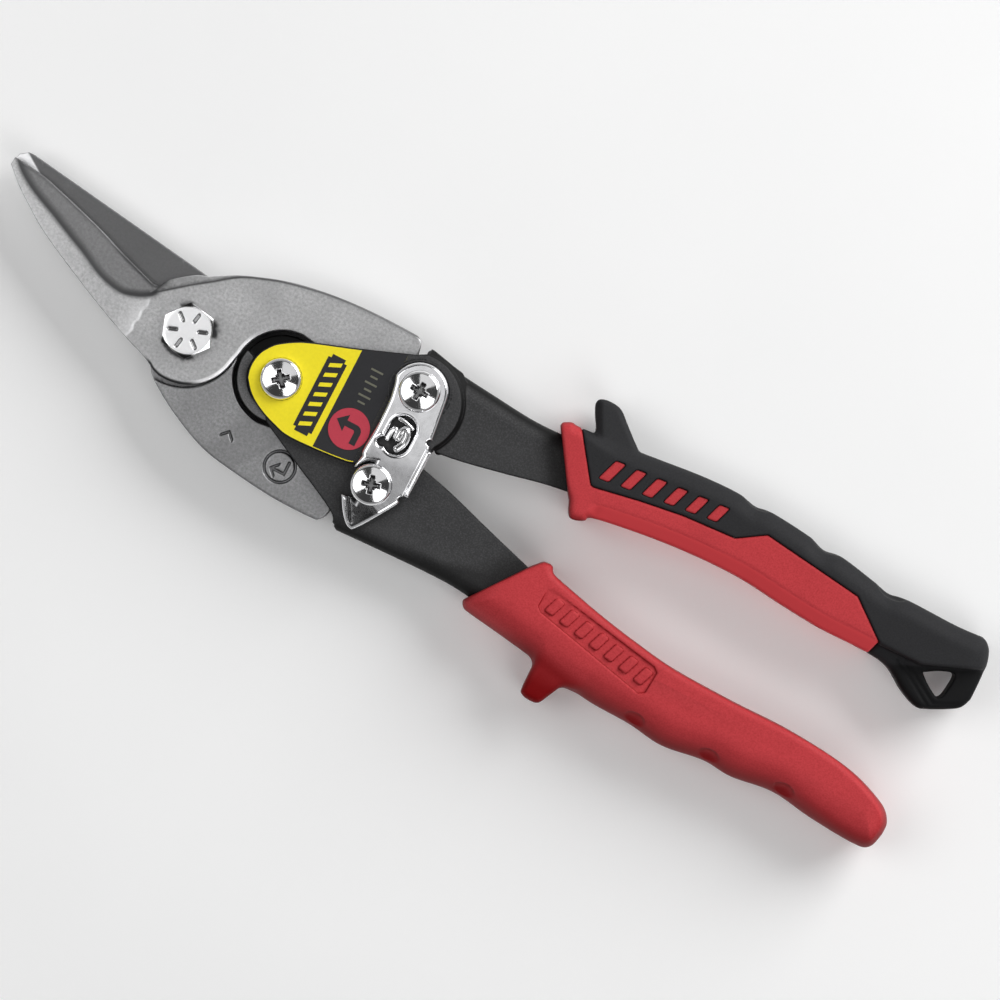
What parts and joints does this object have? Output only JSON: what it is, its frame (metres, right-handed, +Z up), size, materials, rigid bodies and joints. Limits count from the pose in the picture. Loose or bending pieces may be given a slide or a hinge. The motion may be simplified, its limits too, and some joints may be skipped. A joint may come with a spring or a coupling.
{
  "type": "aviation snips",
  "caption": "Compound-action sheet-metal shears with forged jaws, channel handles, a swinging latch and moulded grips.",
  "frame": {"origin": "on the main bolt's axis, in the plane that the tool lies on", "axes": "+X from the main bolt towards the handles, so the jaws point to -X; +Y towards the upper grip with the hanging hole; +Z up, out of the side with the bolt's head and the latch"},
  "size_m": [0.2517, 0.0694, 0.0215],
  "materials": {
    "front_blade": "satin ground",
    "rear_blade": "satin ground",
    "hardware": "bright plated",
    "zinc": "zinc plated",
    "handle_coating": "fine-textured black coating",
    "spacer_steel": "dark oxide",
    "spring_steel": "oiled spring wire",
    "label": "printed yellow and black",
    "badge": "printed red",
    "grip_red": "moulded, fine texture",
    "grip_black": "soft overmould"
  },
  "bodies": {
    "lower_handle": {"lower_handle": "handle_coating", "lower_grip": "grip_red", "handle_spacer": "spacer_steel", "torsion_spring": "spring_steel", "lower_link_screw": "hardware", "lower_link_sleeve": "zinc", "lower_link_collar": "zinc", "lower_link_nut": "zinc"},
    "upper_handle": {"upper_handle": "handle_coating", "upper_grip_core": "grip_red", "upper_grip_overmold": "grip_black", "handle_pivot_screw": "hardware", "handle_pivot_sleeve": "zinc", "handle_pivot_nut": "zinc", "upper_link_screw": "hardware", "upper_link_sleeve": "zinc", "upper_link_nut": "zinc", "latch_washer": "zinc", "label": "label", "direction_badge": "badge"},
    "rear_blade": {"rear_blade": "rear_blade", "pivot_bolt": "hardware", "pivot_washer": "zinc", "pivot_nut": "zinc"},
    "front_blade": {"front_blade": "front_blade"},
    "latch": {"latch": "hardware", "latch_detent": "hardware"}
  },
  "joints": [
    {"name": "handle", "type": "hinge", "parent": "lower_handle", "child": "upper_handle", "pos_m": [0.024, 0, 0.01], "axis": [0, 0, 1], "range_deg": [0, 36], "deforming": ["torsion_spring"]},
    {"name": "rear_link", "type": "hinge", "parent": "lower_handle", "child": "rear_blade", "pos_m": [0.0535, -0.012, 0.01], "axis": [0, 0, 1], "range_deg": [0, 8.7]},
    {"name": "blade_pivot", "type": "hinge", "parent": "rear_blade", "child": "front_blade", "pos_m": [0, 0, 0.01], "axis": [0, 0, 1], "range_deg": [0, 19]},
    {"name": "latch", "type": "hinge", "parent": "upper_handle", "child": "latch", "pos_m": [0.0535, 0.012, 0.018], "axis": [0, 0, 1], "range_deg": [0, 85]}
  ],
  "couplings": [
    {"joint": "rear_link", "follows": "handle", "ratio": 0.23728},
    {"joint": "blade_pivot", "follows": "handle", "ratio": 0.52545},
    {"joint": "latch", "follows": "handle", "ratio": 2.3333}
  ]
}
